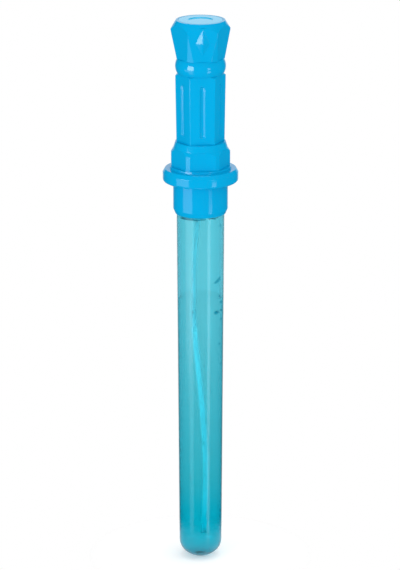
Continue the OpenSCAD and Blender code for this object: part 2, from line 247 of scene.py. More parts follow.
def is_level(element: Edge | Face, height: float) -> bool:
    """Tells whether an edge or a face lies at one height."""
    return all(abs(v.co.z - height) < MERGE_DISTANCE for v in element.verts)


def at_radius(bm: Mesh, radius: float) -> list[Vert]:
    """Finds the vertices at one distance from the axis."""
    return [v for v in bm.verts if abs(math.hypot(v.co.x, v.co.y) - radius) < MERGE_DISTANCE]


def ring_pairs(verts: Sequence[Vert]) -> list[tuple[Vert, Vert]]:
    """Pairs each vertex of a closed ring with the next one."""
    return list(zip(verts, [*verts[1:], verts[0]]))


def fill_between(bm: Mesh, edges: Iterable[Edge], normal: Vector) -> None:
    """Fills the flat area between closed loops of edges."""
    bmesh.ops.triangle_fill(bm, use_beauty=True, use_dissolve=False, edges=list(edges), normal=normal)


def fill_level(bm: Mesh, height: float, normal: Vector) -> None:
    """Fills the level area between the open rims at one height."""
    fill_between(bm, [e for e in bm.edges if e.is_boundary and is_level(e, height)], normal)


def cut(bm: Mesh, point: Vector, normal: Vector, clear: bool = False) -> list[Edge]:
    """Cuts a mesh along a plane.

    Args:
        bm: the mesh.
        point: a point of the plane.
        normal: the plane's normal.
        clear: whether what lies on the normal's side is taken away.

    Returns:
        The edges along the cut.
    """
    made = bmesh.ops.bisect_plane(
        bm,
        geom=bm.verts[:] + bm.edges[:] + bm.faces[:],
        dist=MERGE_DISTANCE,
        plane_co=point,
        plane_no=normal,
        clear_outer=clear,
    )["geom_cut"]
    return [g for g in made if isinstance(g, Edge)]


def six_sided(angle: float, middle: float) -> float:
    """Distance from the axis to the handle's six-sided outline.

    Args:
        angle: angle about the axis.
        middle: distance from the axis to the middle of each side.

    Returns:
        The distance at that angle.
    """
    from_corner = (angle - HANDLE_TURN) % SIDE_TURN
    return middle / math.cos(from_corner - SIDE_TURN / 2)


def six_sided_cone(bm: Mesh, low: float, height: float, corners: Span) -> None:
    """Stands a closed six-sided cone on the axis, turned as the handle is.

    Args:
        bm: the mesh that gets the cone.
        low: height of its foot.
        height: its own height.
        corners: distance from the axis to its corners, at its foot and at its top.
    """
    made = bmesh.ops.create_cone(
        bm, cap_ends=True, segments=SIDES, radius1=corners[0], radius2=corners[1], depth=height
    )["verts"]
    start = math.atan2(made[0].co.y, made[0].co.x)
    bmesh.ops.rotate(bm, verts=made, cent=ORIGIN, matrix=Matrix.Rotation(HANDLE_TURN - start, 3, "Z"))
    bmesh.ops.translate(bm, verts=made, vec=AXIS * (low + height / 2))


def open_ends(bm: Mesh) -> None:
    """Takes away the level faces at a mesh's two ends."""
    ends = [f for f in bm.faces if abs(f.normal.z) > LEVEL_FACE]
    bmesh.ops.delete(bm, geom=ends, context="FACES_ONLY")


@dataclass(frozen=True)
class Fitting:
    """Where a piece belongs: its name, its body, its material slot and the CAD nodes it stands for."""

    name: str
    body: Body
    slot: Slot
    nodes: tuple[str, ...] = ()


def add_piece(bm: Mesh, fitting: Fitting, material: bpy.types.Material, smooth_deg: float = 35.0) -> None:
    """Makes a finished mesh a piece of the part.

    Args:
        bm: the mesh, which is freed.
        fitting: where the piece belongs.
        material: its finish.
        smooth_deg: edges that bend by less than this are shaded smooth.
    """
    mesh = bpy.data.meshes.new(fitting.name)
    open_edges = sum(not e.is_manifold for e in bm.edges)
    bm.to_mesh(mesh)
    bm.free()
    mesh.shade_smooth()
    mesh.set_sharp_from_angle(angle=math.radians(smooth_deg))
    mesh.materials.append(material)
    piece = bpy.data.objects.new(fitting.name, mesh)
    bpy.context.scene.collection.objects.link(piece)
    even = piece.modifiers.new("flat_faces_stay_flat", "WEIGHTED_NORMAL")
    even.keep_sharp = True
    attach(piece, fitting.body.value)
    if fitting.nodes:
        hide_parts(*fitting.nodes)
    faces = len(mesh.polygons)
    LOG.info("%s: %d faces, %d open edges, on %s", piece.name, faces, open_edges, fitting.body.value)


class Graph:
    """A node tree, with helpers for the nodes that the materials and the world share."""

    def __init__(self, tree: bpy.types.NodeTree) -> None:
        """Takes hold of a node tree."""
        self.tree = tree

    def add(self, kind: str, **settings: object) -> bpy.types.Node:
        """Adds a node.

        Args:
            kind: the node's type.
            settings: properties of the node, by name.

        Returns:
            The node.
        """
        node = self.tree.nodes.new(kind)
        for name, value in settings.items():
            setattr(node, name, value)
        return node

    def link(self, output: Value, socket: Value) -> None:
        """Links an output to a socket."""
        self.tree.links.new(output, socket)

    def coordinates(self, kind: str) -> Value:
        """The place of each point, or the way a ray goes, by the name that Texture Coordinate gives it."""
        return self.add("ShaderNodeTexCoord").outputs[kind]

    def component(self, vector: Value, axis: str) -> Value:
        """Takes one of a vector's three numbers.

        Args:
            vector: the vector.
            axis: X, Y or Z.

        Returns:
            The number.
        """
        node = self.add("ShaderNodeSeparateXYZ")
        self.link(vector, node.inputs["Vector"])
        return node.outputs[axis]

    def spread(self, source: Value, old: Span, new: tuple[Value | float, Value | float]) -> Value:
        """Maps a value from one range to another, and no further.

        Args:
            source: the value.
            old: its range.
            new: the two ends of the range that is wanted, or outputs that give them.

        Returns:
            The mapped value.
        """
        node = self.add("ShaderNodeMapRange")
        node.inputs["From Min"].default_value, node.inputs["From Max"].default_value = old
        self.link(source, node.inputs["Value"])
        for name, end in zip(("To Min", "To Max"), new):
            if isinstance(end, Value):
                self.link(end, node.inputs[name])
            else:
                node.inputs[name].default_value = end
        return node.outputs["Result"]

    def larger(self, first: Value, second: Value) -> Value:
        """Gives the larger of two values.

        Args:
            first: one value.
            second: the other value.

        Returns:
            The larger one.
        """
        node = self.add("ShaderNodeMath", operation="MAXIMUM")
        self.link(first, node.inputs[0])
        self.link(second, node.inputs[1])
        return node.outputs[0]


class Shader(Graph):
    """A new material, with helpers for the nodes that feed its Principled shader."""

    def __init__(self, name: str) -> None:
        """Starts a material with a Principled shader.

        Args:
            name: the material's name.
        """
        self.material = bpy.data.materials.new(name)
        self.material.use_nodes = True
        super().__init__(self.material.node_tree)
        self.principled = self.tree.nodes["Principled BSDF"]
        self.place = self.coordinates("Object")

    def set(self, **sockets: float) -> None:
        """Sets the shader's own sockets, named with underscores for spaces."""
        for name, value in sockets.items():
            self.principled.inputs[name.replace("_", " ")].default_value = value

    def feed(self, socket: str, output: Value) -> None:
        """Links an output to one of the shader's sockets."""
        self.link(output, self.principled.inputs[socket])

    def height(self) -> Value:
        """The height above the foot of the tube, in metres."""
        return self.component(self.place, "Z")

    def noise(self, scale: float, detail: float, stretch: float = 1.0) -> Value:
        """Adds a noise pattern on Object coordinates.

        Args:
            scale: cells to the metre.
            detail: finer layers in the pattern.
            stretch: how many times longer the cells are along the axis.

        Returns:
            The pattern's strength.
        """
        mapping = self.add("ShaderNodeMapping")
        mapping.inputs["Scale"].default_value = (1, 1, 1 / stretch)
        self.link(self.place, mapping.inputs["Vector"])
        noise = self.add("ShaderNodeTexNoise")
        noise.inputs["Scale"].default_value = scale
        noise.inputs["Detail"].default_value = detail
        self.link(mapping.outputs["Vector"], noise.inputs["Vector"])
        return noise.outputs["Fac"]

    def colour(self, source: Value, stops: Sequence[tuple[float, Colour]]) -> None:
        """Colours the shader by a value.

        Args:
            source: the value.
            stops: places from 0 to 1 and their colours.
        """
        node = self.add("ShaderNodeValToRGB")
        elements = node.color_ramp.elements
        while len(elements) < len(stops):
            elements.new(1.0)
        for element, (place, colour) in zip(elements, stops):
            element.position = place
            element.color = colour
        self.link(source, node.inputs["Fac"])
        self.feed("Base Color", node.outputs["Color"])

    def mottle(self, pattern: Value, shade: Colour, colour: Colour, ends: Span = NOISE_RANGE) -> None:
        """Colours the shader by a pattern that goes between two near colours."""
        self.colour(pattern, list(zip(ends, (shade, colour))))

    def absorb(self, colour: Colour, density: float) -> None:
        """Colours the light that passes through the material, the deeper the more.

        Args:
            colour: the colour that is left.
            density: how soon it gets there, to the metre.
        """
        node = self.add("ShaderNodeVolumeAbsorption")
        node.inputs["Color"].default_value = colour
        node.inputs["Density"].default_value = density
        self.link(node.outputs["Volume"], self.tree.nodes["Material Output"].inputs["Volume"])

    def bump(self, source: Value, depth: float) -> None:
        """Roughens the shader's normal by a pattern.

        Args:
            source: the pattern.
            depth: its real depth.
        """
        node = self.add("ShaderNodeBump")
        node.inputs["Distance"].default_value = depth
        node.inputs["Strength"].default_value = 1.0
        self.link(source, node.inputs["Height"])
        self.feed("Normal", node.outputs["Normal"])


@dataclass(frozen=True)
class MouldedPlastic:
    """Glossy coloured plastic with slow shade changes and the faint skin of a mould."""

    name: str
    colour: Colour
    shade: Colour
    gloss: Span = (0.06, 0.1)
    specular: float = 0.6
    flow_scale: float = 45.0
    flow_stretch: float = 2.5
    skin_scale: float = 900.0
    skin_depth: float = 0.002 * MM

    def build(self) -> bpy.types.Material:
        """Makes the material.

        Returns:
            The material.
        """
        shader = Shader(self.name)
        flow = shader.noise(self.flow_scale, detail=4.0, stretch=self.flow_stretch)
        skin = shader.noise(self.skin_scale, detail=2.0)
        shader.mottle(flow, self.shade, self.colour)
        shader.feed("Roughness", shader.spread(skin, NOISE_RANGE, self.gloss))
        shader.set(Specular_IOR_Level=self.specular)
        shader.bump(skin, self.skin_depth)
        return shader.material


@dataclass(frozen=True)
class ClearPlastic:
    """Tinted clear plastic with drawn-out flow lines and fine scuffs."""

    name: str
    tint: Colour
    shade: Colour
    depth_colour: Colour
    depth_density: float
    ior: float = 1.49
    gloss: Span = (0.08, 0.16)
    flow_scale: float = 160.0
    flow_stretch: float = 8.0
    flow_depth: float = 0.004 * MM
    scuff_scale: float = 900.0
    scuff_range: Span = (0.4, 0.75)

    def build(self) -> bpy.types.Material:
        """Makes the material.

        Returns:
            The material.
        """
        shader = Shader(self.name)
        flow = shader.noise(self.flow_scale, detail=2.0, stretch=self.flow_stretch)
        scuff = shader.noise(self.scuff_scale, detail=4.0)
        shader.mottle(flow, self.shade, self.tint)
        shader.feed("Roughness", shader.spread(scuff, self.scuff_range, self.gloss))
        shader.set(IOR=self.ior, Transmission_Weight=1.0)
        shader.bump(flow, self.flow_depth)
        shader.absorb(self.depth_colour, self.depth_density)
        return shader.material


@dataclass(frozen=True)
class ClearLiquid:
    """Tinted liquid that looks deeper in colour towards its foot.

    places are the shares of its depth at which the lower, middle and upper colours stand.
    """

    name: str
    depth: float
    upper: Colour = (0.9, 0.93, 0.93, 1)
    middle: Colour = (0.23, 0.745, 0.765, 1)
    lower: Colour = (0.005, 0.68, 0.75, 1)
    places: tuple[float, float, float] = (0.17, 0.29, 0.95)
    ior: float = 1.1

    def build(self) -> bpy.types.Material:
        """Makes the material.

        Returns:
            The material.
        """
        shader = Shader(self.name)
        rise = shader.spread(shader.height(), (0.0, self.depth), UNIT)
        shader.colour(rise, list(zip(self.places, (self.lower, self.middle, self.upper))))
        shader.set(Roughness=0.0, IOR=self.ior, Transmission_Weight=1.0)
        return shader.material


@dataclass(frozen=True)
class MilkyPlastic:
    """Soft plastic that lets some light through, pale at the loops and greyer up the stem.

    turning holds the heights between which the loops' colour gives way to the stem's.
    """

    name: str
    loops: Colour
    stem: Colour
    turning: Span = (150 * MM, 190 * MM)
    transmission: float = 0.3
    ior: float = 1.13
    gloss: Span = (0.25, 0.35)
    flow_scale: float = 120.0
    flow_stretch: float = 4.0

    def build(self) -> bpy.types.Material:
        """Makes the material.

        Returns:
            The material.
        """
        shader = Shader(self.name)
        flow = shader.noise(self.flow_scale, detail=3.0, stretch=self.flow_stretch)
        rise = shader.spread(shader.height(), self.turning, UNIT)
        shader.colour(rise, list(zip(UNIT, (self.loops, self.stem))))
        shader.feed("Roughness", shader.spread(flow, NOISE_RANGE, self.gloss))
        shader.set(IOR=self.ior, Transmission_Weight=self.transmission)
        return shader.material


@dataclass(frozen=True)
class Foam:
    """Matt closed-cell foam."""

    name: str
    colour: Colour
    shade: Colour
    gloss: Span = (0.75, 0.95)
    cell_scale: float = 1800.0
    cell_range: Span = (0.35, 0.65)
    cell_depth: float = 0.15 * MM

    def build(self) -> bpy.types.Material:
        """Makes the material.

        Returns:
            The material.
        """
        shader = Shader(self.name)
        cells = shader.noise(self.cell_scale, detail=3.0)
        shader.mottle(cells, self.shade, self.colour, self.cell_range)
        shader.feed("Roughness", shader.spread(cells, NOISE_RANGE, self.gloss))
        shader.bump(cells, self.cell_depth)
        return shader.material


@dataclass(frozen=True)
class DropsWithPaintedShade:
    """Small drops and bubbles, deeper in colour than what is behind them: the deeper tint is painted shade,
    standing in for the dark rims that bent light gives real bubbles.
    """

    name: str
    colour: Colour
    shade: Colour
    ior: float = 1.5
    swirl_scale: float = 700.0

    def build(self) -> bpy.types.Material:
        """Makes the material.

        Returns:
            The material.
        """
        shader = Shader(self.name)
        shader.mottle(shader.noise(self.swirl_scale, detail=2.0), self.shade, self.colour)
        shader.set(Roughness=0.0, IOR=self.ior, Transmission_Weight=1.0)
        return shader.material


@dataclass(frozen=True)
class Thread:
    """A helical ridge on a wall, which fades out at both ends."""

    start: float
    pitch: float = 4 * MM
    turns: float = 1.5
    height: float = 0.5 * MM
    root_width: float = 2 * MM
    crest_width: float = 0.9 * MM
    fade_turns: float = 1 / 6

    def rows(self, below: float, steps: int) -> list[float]:
        """Heights of the rows of vertices that the ridge is raised on.

        Args:
            below: how far under the ridge's start the rows begin.
            steps: steps from the first row to the last.

        Returns:
            The heights, from low to high.
        """
        low = self.start - below
        high = self.start + self.pitch * self.turns + self.root_width
        return [low + (high - low) * k / steps for k in range(steps + 1)]

    def rise(self, point: Vector) -> float:
        """How far the ridge stands out of the wall at a point of the wall.

        Args:
            point: a point of the wall.

        Returns:
            The ridge's height there, 0 beside it.
        """
        share = (math.atan2(point.y, point.x) / FULL_TURN) % 1.0
        flank = (self.root_width - self.crest_width) / 2
        best = 0.0
        for whole in range(math.ceil(self.turns)):
            turn = share + whole
            if turn > self.turns:
                break
            beside = abs(point.z - self.start - self.pitch * turn)
            climb = min(1.0, max(0.0, (self.root_width / 2 - beside) / flank))
            fade = min(1.0, turn / self.fade_turns, (self.turns - turn) / self.fade_turns)
            best = max(best, self.height * climb * fade)
        return best

    def raise_on(self, verts: Iterable[Vert], side: float) -> None:
        """Raises the ridge on a wall.

        Args:
            verts: the wall's vertices.
            side: 1 for a ridge away from the axis, and -1 for one towards it.
        """
        for vert in verts:
            flat = Vector((vert.co.x, vert.co.y, 0))
            vert.co += flat.normalized() * (side * self.rise(vert.co))


@dataclass
class Tube:
    """Clear tapered tube with a round end and a threaded neck."""

    end_radius: float = 13.95 * MM
    crown_radius: float = 16 * MM
    knuckle_radius: float = 10 * MM
    wall: float = 1.65 * MM
    neck_wall: float = 1.1 * MM
    neck_height: float = 18 * MM
    foot_radius: float = 4.1 * MM
    dimple_radius: float = 2.6 * MM
    dimple_depth: float = 0.6 * MM
    edge_round: float = 0.35 * MM
    thread_rows: int = 48
    room: Room = field(default_factory=lambda: Room.of("tube"))

    @property
    def shoulder(self) -> float:
        """Height of the shoulder under the cap."""
        return self.room.high.z - self.neck_height

    @property
    def crown(self) -> Corner:
        """Centre of the arc in the middle of the round end."""
        return Corner(0, math.sqrt(self.crown_radius**2 - self.foot_radius**2))

    @property
    def knuckle(self) -> Corner:
        """Centre of the arc where the round end runs into the wall.

        Returns:
            The centre.
        """
        across = self.end_radius - self.knuckle_radius
        drop = math.sqrt((self.crown_radius - self.knuckle_radius) ** 2 - across**2)
        return Corner(across, self.crown.up - drop)

    @property
    def neck_radius(self) -> float:
        """Outside radius of the neck."""
        return self.room.high.x - self.wall + self.neck_wall

    @property
    def neck_slope(self) -> float:
        """How far the shoulder goes in, and up, to the neck."""
        return self.room.high.x - self.neck_radius

    @property
    def thread(self) -> Thread:
        """The ridge on the neck."""
        return Thread(self.shoulder + self.neck_slope + Thread.root_width + Thread.pitch / 2)

    def round_end(self, inset: float, start_deg: float = -90.0) -> list[Corner]:
        """The round end's half section, from near the axis to the wall.

        Args:
            inset: distance inside the tube's outside.
            start_deg: first angle above the horizon.

        Returns:
            The section's points.
        """
        meet_deg = -math.degrees(math.atan2(self.crown.up - self.knuckle.up, self.knuckle.across))
        middle = arc(self.crown, self.crown_radius - inset, start_deg, meet_deg)
        return middle[:-1] + arc(self.knuckle, self.knuckle_radius - inset, meet_deg, 0)

    def outside(self, height: float) -> float:
        """Outside radius of the taper at a height."""
        share = (height - self.knuckle.up) / (self.shoulder - self.knuckle.up)
        return self.end_radius + (self.room.high.x - self.end_radius) * share

    def outline(self) -> list[Corner]:
        """The tube's half section, from the dimple round the rim to the inside of the foot.

        Returns:
            The section's corners.
        """
        rim, soft = self.room.high.z, self.edge_round
        foot_deg = -math.degrees(math.asin(self.crown.up / self.crown_radius))
        rows = self.thread.rows(Thread.root_width, self.thread_rows)
        return [
            Corner(0, self.dimple_depth),
            Corner(self.dimple_radius, self.dimple_depth, soft / 2),
            Corner(self.dimple_radius, 0, soft / 2),
            *self.round_end(0, foot_deg),
            Corner(self.room.high.x, self.shoulder, soft),
            Corner(self.neck_radius, self.shoulder + self.neck_slope, soft / 2),
            *[Corner(self.neck_radius, row) for row in rows],
            Corner(self.neck_radius, rim, soft),
            Corner(self.outside(rim) - self.wall, rim, soft),
            *reversed(self.round_end(self.wall)),
        ]

    def build(self, finish: ClearPlastic) -> None:
        """Models the tube and dresses it.

        Args:
            finish: its clear plastic.
        """
        bm = bmesh.new()
        turned(bm, self.outline())
        self.thread.raise_on(at_radius(bm, self.neck_radius), 1)
        settle(bm)
        add_piece(bm, Fitting("clear_tube", Body.TUBE, Slot.TUBE, ("tube",)), finish.build())


@dataclass
class Solution:
    """Bubble solution, which wets the wall of the tube and creeps up it.

    overlap is how far it reaches into the wall, so that no air shows between the two.
    """

    tube: Tube
    overlap: float = 0.06 * MM
    creep: float = 0.05 * MM
    creep_sunk: float = 0.5
    creep_length: float = 1.2 * MM
    surface_steps: int = 12
    room: Room = field(default_factory=lambda: Room.of("bubble_solution"))

    def outline(self) -> list[Corner]:
        """Half section of the liquid, from its foot up the wall and over its hollow surface.

        Returns:
            The section's points.
        """
        level = self.room.high.z
        inset = self.tube.wall - self.overlap
        edge = self.tube.outside(level) - inset
        surface = []
        for k in range(self.surface_steps + 1):
            in_from_wall = edge * (k / self.surface_steps) ** 2
            lift = self.creep * (math.exp(-in_from_wall / self.creep_length) - self.creep_sunk)
            surface.append(Corner(edge - in_from_wall, level + lift))
        return [*self.tube.round_end(inset), *surface]

    def build(self, finish: ClearLiquid) -> None:
        """Models the liquid and dresses it.

        Args:
            finish: its clear liquid.
        """
        bm = bmesh.new()
        turned(bm, self.outline())
        settle(bm)
        fitting = Fitting("bubble_liquid", Body.TUBE, Slot.SOLUTION, ("bubble_solution",))
        add_piece(bm, fitting, finish.build())


@dataclass(frozen=True)
class Bubble:
    """A bubble on the inside of the tube's front, with its place and size in millimetres."""

    across: float
    up: float
    radius: float

    def towards(self, other: "Bubble", share: float) -> "Bubble":
        """A bubble some share of the way from this one to another.

        Args:
            other: the bubble at the far end of the way.
            share: the share, from 0 to 1.

        Returns:
            The bubble between them.
        """
        return Bubble(
            self.across + (other.across - self.across) * share,
            self.up + (other.up - self.up) * share,
            self.radius + (other.radius - self.radius) * share,
        )


@dataclass
class Bubbles:
    """Bubbles, drops and froth of the solution that cling to the inside of the tube's front.

    A row of dark drops under the cap's skirt, given by its two ends below, paints the shadow along the
    skirt's edge, and farthest is the share of the tube's inside that a bubble may reach to the right.
    """

    tube: Tube
    farthest: float = 0.97
    roundness: int = 3
    in_liquid: tuple[Bubble, ...] = (
        Bubble(12.0, 181.2, 0.7),
        Bubble(12.7, 176.8, 0.8),
        Bubble(13.2, 171.2, 0.7),
        Bubble(9.4, 170.8, 1.2),
        Bubble(10.3, 171.2, 0.9),
        Bubble(13.0, 165.4, 0.6),
        Bubble(11.4, 148.9, 0.6),
        Bubble(2.3, 135.8, 0.5),
        Bubble(12.8, 134.5, 0.6),
        Bubble(6.2, 118.1, 0.5),
        Bubble(-6.3, 57.5, 0.6),
        Bubble(7.6, 52.2, 0.5),
    )
    on_wall: tuple[Bubble, ...] = (
        Bubble(12.7, 228.4, 0.8),
        Bubble(9.4, 191.4, 0.8),
        Bubble(10.5, 191.9, 0.9),
        Bubble(11.5, 192.5, 0.9),
        Bubble(12.4, 193.2, 0.8),
        Bubble(4.3, 235.6, 0.6),
        Bubble(5.6, 235.3, 0.8),
        Bubble(7.1, 235.5, 0.9),
        Bubble(8.6, 235.0, 1.0),
        Bubble(10.1, 235.4, 0.8),
        Bubble(11.3, 235.7, 0.6),
    )
    # Two ends of the row of dark drops that paint the shadow under the cap's skirt
    painted_shadow_line: tuple[Bubble, Bubble] = (Bubble(-12.2, 234.3, 0.8), Bubble(3.0, 234.8, 0.4))
    painted_shadow_drops: int = 22

    def drops(self) -> list[Bubble]:
        """The drops of the painted shadow line under the skirt, smaller towards the middle of the tube."""
        start, end = self.painted_shadow_line
        return [start.towards(end, k / (self.painted_shadow_drops - 1)) for k in range(self.painted_shadow_drops)]

    def build(self, finish: DropsWithPaintedShade) -> None:
        """Models the bubbles and dresses them.

        Args:
            finish: their liquid.
        """
        bm = bmesh.new()
        for bubble in (*self.in_liquid, *self.on_wall, *self.drops()):
            radius, up = bubble.radius * MM, bubble.up * MM
            reach = self.tube.outside(up) - self.tube.wall - radius
            across = min(bubble.across * MM, reach * self.farthest)
            place = Matrix.Translation((across, -math.sqrt(reach**2 - across**2), up))
            bmesh.ops.create_icosphere(bm, subdivisions=self.roundness, radius=radius, matrix=place)
        add_piece(bm, Fitting("bubbles", Body.TUBE, Slot.SOLUTION), finish.build())


@dataclass
class Wand:
    """Long bowed wand: a ladder of windows, a flat stem, and a round head that hangs in the cap."""

    loop_top: float = 172 * MM
    loop_width: float = 18.6 * MM
    loop_steps: int = 48
    rail: float = 2.2 * MM
    windows: int = 5
    window_round: float = 1.2 * MM
    window_end_share: float = 0.99
    window_steps: int = 8
    thickness: float = 3 * MM
    stem_width: float = 6 * MM
    bow_high: float = 4.9 * MM
    bow_low: float = 2.6 * MM
    bow_wave: float = 260 * MM
    bow_slices: int = 64
    collar: float = 245.45 * MM
    collar_radius: float = 5.5 * MM
    collar_height: float = 3 * MM
    neck_radius: float = 3.45 * MM
    head_radius: float = 4.3 * MM
    head_height: float = 3.6 * MM
    head_round: float = 0.4 * MM
    head_steps: int = 48
    crease_deg: float = 60
    edge_round: float = 0.6 * MM
    room: Room = field(default_factory=lambda: Room.of("wand"))

    def bow(self, height: float) -> float:
        """Sideways place of the wand's middle at a height.

        Args:
            height: the height.

        Returns:
            The distance to the right of the axis.
        """
        tip = self.room.low.z
        size = self.bow_low + (self.bow_high - self.bow_low) * (height - tip) / (self.collar - tip)
        return -size * math.sin(FULL_TURN * (self.collar - height) / self.bow_wave)

    def loop(self, bm: Mesh) -> list[Edge]:
        """Draws the long round-ended outside of the ladder.

        Args:
            bm: the mesh that gets the edges.

        Returns:
            The outline's edges.
        """
        radius = self.loop_width / 2
        middle = self.room.low.z + radius
        half_step = Matrix.Rotation(math.pi / self.loop_steps, 4, "Z")
        stand = Matrix.Translation(AXIS * middle) @ Matrix.Rotation(math.pi / 2, 4, "Y") @ half_step
        verts = bmesh.ops.create_circle(
            bm, cap_ends=False, segments=self.loop_steps, radius=radius, matrix=stand
        )["verts"]
        upper = [v for v in verts if v.co.z > middle]
        bmesh.ops.translate(bm, verts=upper, vec=AXIS * (self.loop_top - self.room.low.z - self.loop_width))
        return list(dict.fromkeys(e for v in verts for e in v.link_edges))

    def window(self, bm: Mesh, number: int) -> list[Edge]:
        """Draws the outline of one window, which has a round end at an end of the ladder.

        Args:
            bm: the mesh that gets the edges.
            number: the window, counted from the tip.

        Returns:
            The outline's edges.
        """
        half = self.loop_width / 2 - self.rail
        tip = self.room.low.z
        height = (self.loop_top - tip - self.rail * (self.windows + 1)) / self.windows
        low = tip + self.rail + number * (height + self.rail)
        end_round = half * self.window_end_share
        low_round = end_round if number == 0 else self.window_round
        high_round = end_round if number == self.windows - 1 else self.window_round
        corners = [
            Corner(-half, low, low_round),
            Corner(half, low, low_round),
            Corner(half, low + height, high_round),
            Corner(-half, low + height, high_round),
        ]
        points = rounded(corners, closed=True, steps=self.window_steps)
        verts = [bm.verts.new((0, p.x, p.y)) for p in points]
        return [bm.edges.new(pair) for pair in ring_pairs(verts)]

    def carries_stem(self, edge: Edge) -> bool:
        """Tells whether an edge of the ladder's outside lies at the foot of the stem."""
        low, half = self.loop_top - self.rail, self.stem_width / 2
        return all(v.co.z > low and abs(v.co.y) < half for v in edge.verts)

    def blade(self, bm: Mesh) -> None:
        """Models the flat ladder and stem, rounds their edges and bows them.

        Args:
            bm: the mesh that gets them, with the top of the stem open.
        """
        loop = self.loop(bm)
        openings = [e for i in range(self.windows) for e in self.window(bm, i)]
        fill_between(bm, loop + openings, Vector((1, 0, 0)))
        stem = bmesh.ops.extrude_edge_only(bm, edges=[e for e in loop if self.carries_stem(e)])["geom"]
        for vert in stem:
            if isinstance(vert, Vert):
                vert.co.z = self.collar
        bmesh.ops.translate(bm, verts=bm.verts, vec=(-self.thickness / 2, 0, 0))
        grown = bmesh.ops.extrude_face_region(bm, geom=bm.faces[:], use_keep_orig=True)["geom"]
        far_side = [g for g in grown if isinstance(g, Vert)]
        bmesh.ops.translate(bm, verts=far_side, vec=(self.thickness, 0, 0))
        settle(bm)
        top = [f for f in bm.faces if is_level(f, self.collar)]
        bmesh.ops.delete(bm, geom=top, context="FACES")
        soften(bm, self.crease_deg, self.edge_round, segments=3)
        tip = self.room.low.z
        for k in range(1, self.bow_slices):
            cut(bm, AXIS * (tip + (self.collar - tip) * k / self.bow_slices), AXIS)
        for vert in bm.verts:
            vert.co.x += self.bow(vert.co.z)

    def head(self, bm: Mesh) -> None:
        """Models the collar, the neck and the head above the stem, and joins them to it.

        Args:
            bm: the mesh that holds the stem.
        """
        soft = self.head_round
        top = self.room.high.z
        outline = [
            Corner(self.collar_radius, self.collar),
            Corner(self.collar_radius, self.collar + self.collar_height, soft),
            Corner(self.neck_radius, self.collar + self.collar_height, soft),
            Corner(self.neck_radius, top - self.head_height, soft / 4),
            Corner(self.head_radius, top - self.head_height, soft / 4),
            Corner(self.head_radius, top - self.head_height / 2, soft),
            Corner(self.neck_radius, top, soft),
            Corner(0, top),
        ]
        turned(bm, outline, steps=self.head_steps)
        bmesh.ops.remove_doubles(bm, verts=bm.verts, dist=MERGE_DISTANCE)
        fill_level(bm, self.collar, -AXIS)

    def build(self, finish: MilkyPlastic) -> None:
        """Models the wand and dresses it.

        Args:
            finish: its milky plastic.
        """
        bm = bmesh.new()
        self.blade(bm)
        self.head(bm)
        settle(bm)
        add_piece(bm, Fitting("bubble_wand", Body.WAND, Slot.WAND, ("wand",)), finish.build())


@dataclass
class Seal:
    """Soft washer between the rim of the tube and the cap."""

    hole_radius: float = 3.85 * MM
    edge_round: float = 0.3 * MM
    room: Room = field(default_factory=lambda: Room.of("seal_washer"))

    def build(self, finish: Foam) -> None:
        """Models the washer and dresses it.

        Args:
            finish: its foam.
        """
        low, high, radius = self.room.low.z, self.room.high.z, self.room.high.x
        middle = Corner((self.hole_radius + radius) / 2, low)
        outline = [
            middle,
            Corner(radius, low, self.edge_round),
            Corner(radius, high, self.edge_round),
            Corner(self.hole_radius, high, self.edge_round),
            Corner(self.hole_radius, low, self.edge_round),
            middle,
        ]
        bm = bmesh.new()
        turned(bm, outline)
        settle(bm)
        add_piece(bm, Fitting("foam_washer", Body.SEAL, Slot.SEAL, ("seal_washer",)), finish.build())


